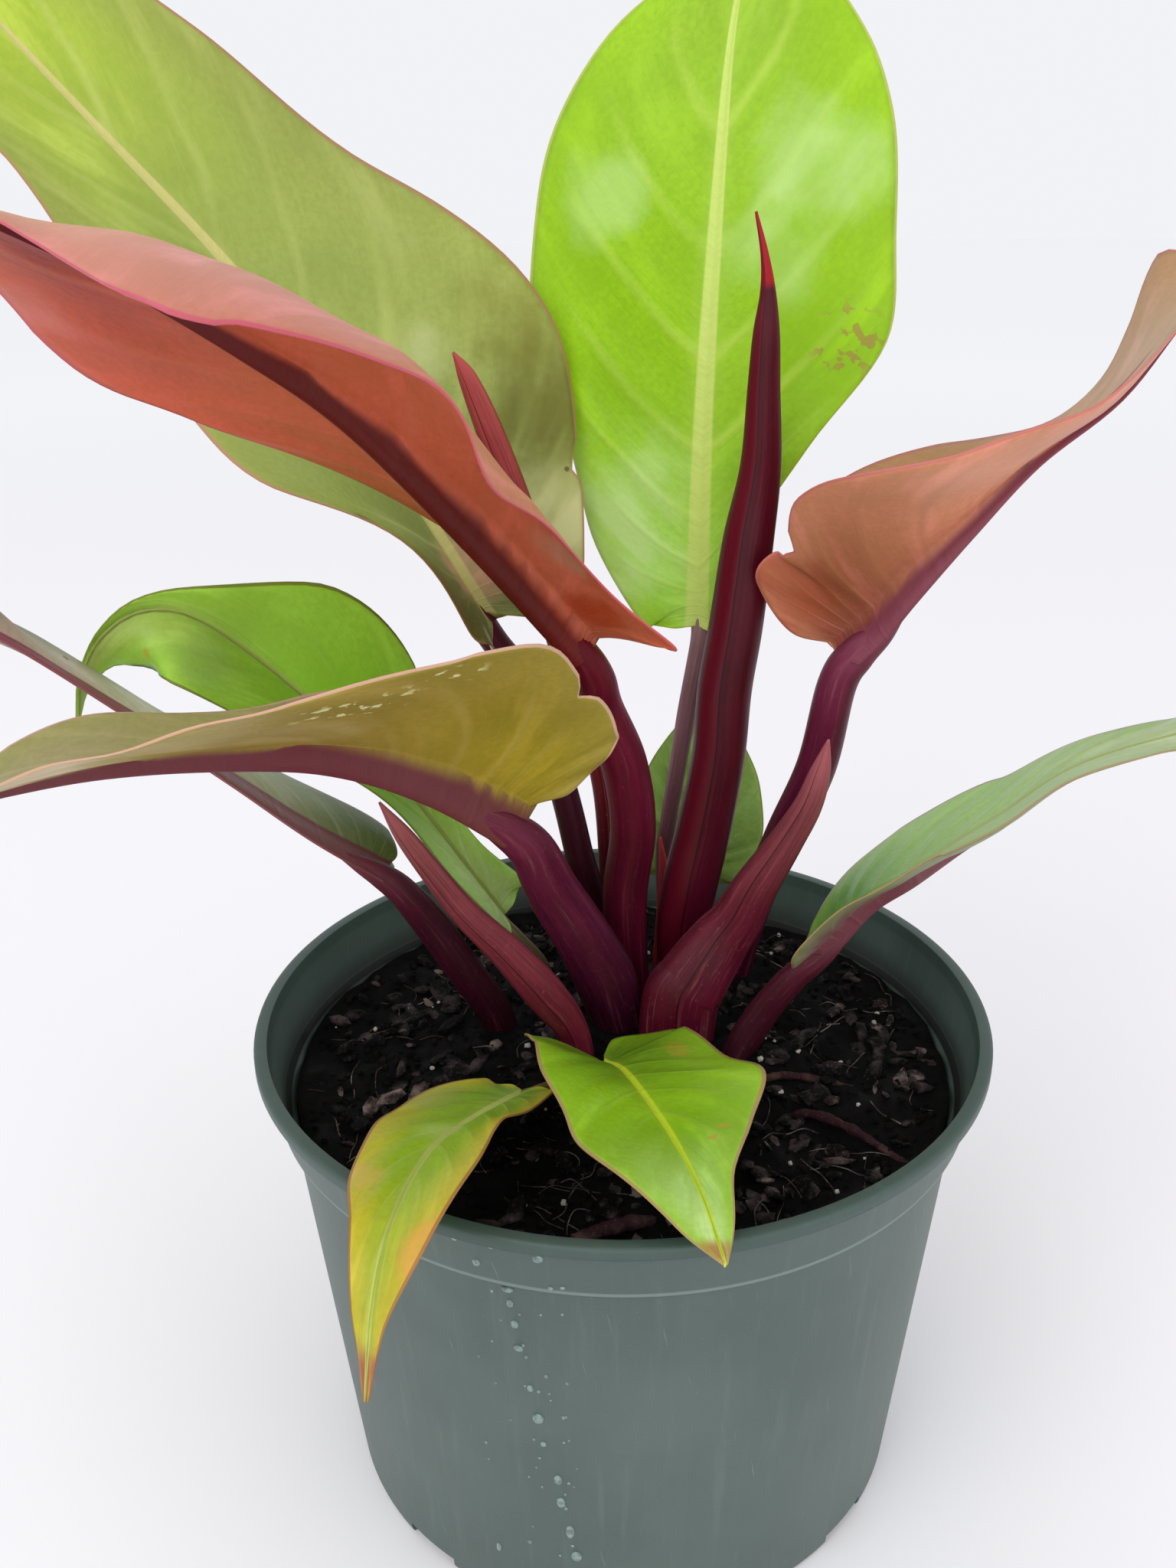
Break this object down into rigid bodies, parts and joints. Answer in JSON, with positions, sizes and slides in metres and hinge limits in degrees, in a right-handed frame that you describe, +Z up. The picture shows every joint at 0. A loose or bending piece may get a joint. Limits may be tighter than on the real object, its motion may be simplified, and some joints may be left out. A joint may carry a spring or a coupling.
{
  "type": "potted prince of orange philodendron",
  "caption": "Potted prince of orange philodendron: lobed leaves on dark stems and rolled young leaves over soil in a round nursery pot with a flat lip and foot drains.",
  "frame": {"origin": "centre of the pot's flat base, on the surface it stands on", "axes": "+Z up along the pot's axis, -Y towards the front of the plant, +X to the right as seen from the front"},
  "size_m": [0.2585, 0.1859, 0.3392],
  "materials": {
    "pot_green": "satin grey-green moulded plastic",
    "soil_dark": "wet, crumbly potting mix of bark and peat",
    "root_brown": "dull brown root skin",
    "lime_blade": "smooth, slightly waxy leaf, lime green",
    "olive_blade": "smooth, slightly waxy leaf, olive green",
    "coral_blade": "smooth young leaf, coral red",
    "bronze_blade": "smooth young leaf, bronze orange",
    "green_blade": "smooth, slightly waxy leaf, fresh green",
    "maroon_stem": "smooth, glossy dark red stem",
    "mauve_stem": "smooth, dull purple-grey stem",
    "red_spear": "smooth, satin red sheath"
  },
  "bodies": {
    "root": {"pot": "pot_green", "soil": "soil_dark", "blade_upright": "lime_blade", "petiole_upright": "mauve_stem", "blade_broad_left": "olive_blade", "petiole_broad_left": "maroon_stem", "blade_red_left": "coral_blade", "petiole_red_left": "maroon_stem", "blade_olive_left": "olive_blade", "petiole_olive_left": "maroon_stem", "blade_arched_left": "green_blade", "petiole_arched_left": "mauve_stem", "blade_slender_left": "green_blade", "petiole_slender_left": "maroon_stem", "blade_bronze_right": "bronze_blade", "petiole_bronze_right": "maroon_stem", "blade_green_right": "green_blade", "petiole_green_right": "maroon_stem", "blade_small_back": "green_blade", "petiole_small_back": "mauve_stem", "blade_small_front_right": "lime_blade", "petiole_small_front_right": "mauve_stem", "blade_small_front_left": "green_blade", "petiole_small_front_left": "mauve_stem", "centre_spear": "maroon_stem", "left_sheath": "red_spear", "right_sheath": "red_spear", "back_spear": "red_spear", "bud_tip": "red_spear", "root_long": "root_brown", "root_thin": "root_brown", "root_stub": "root_brown"}
  },
  "joints": []
}
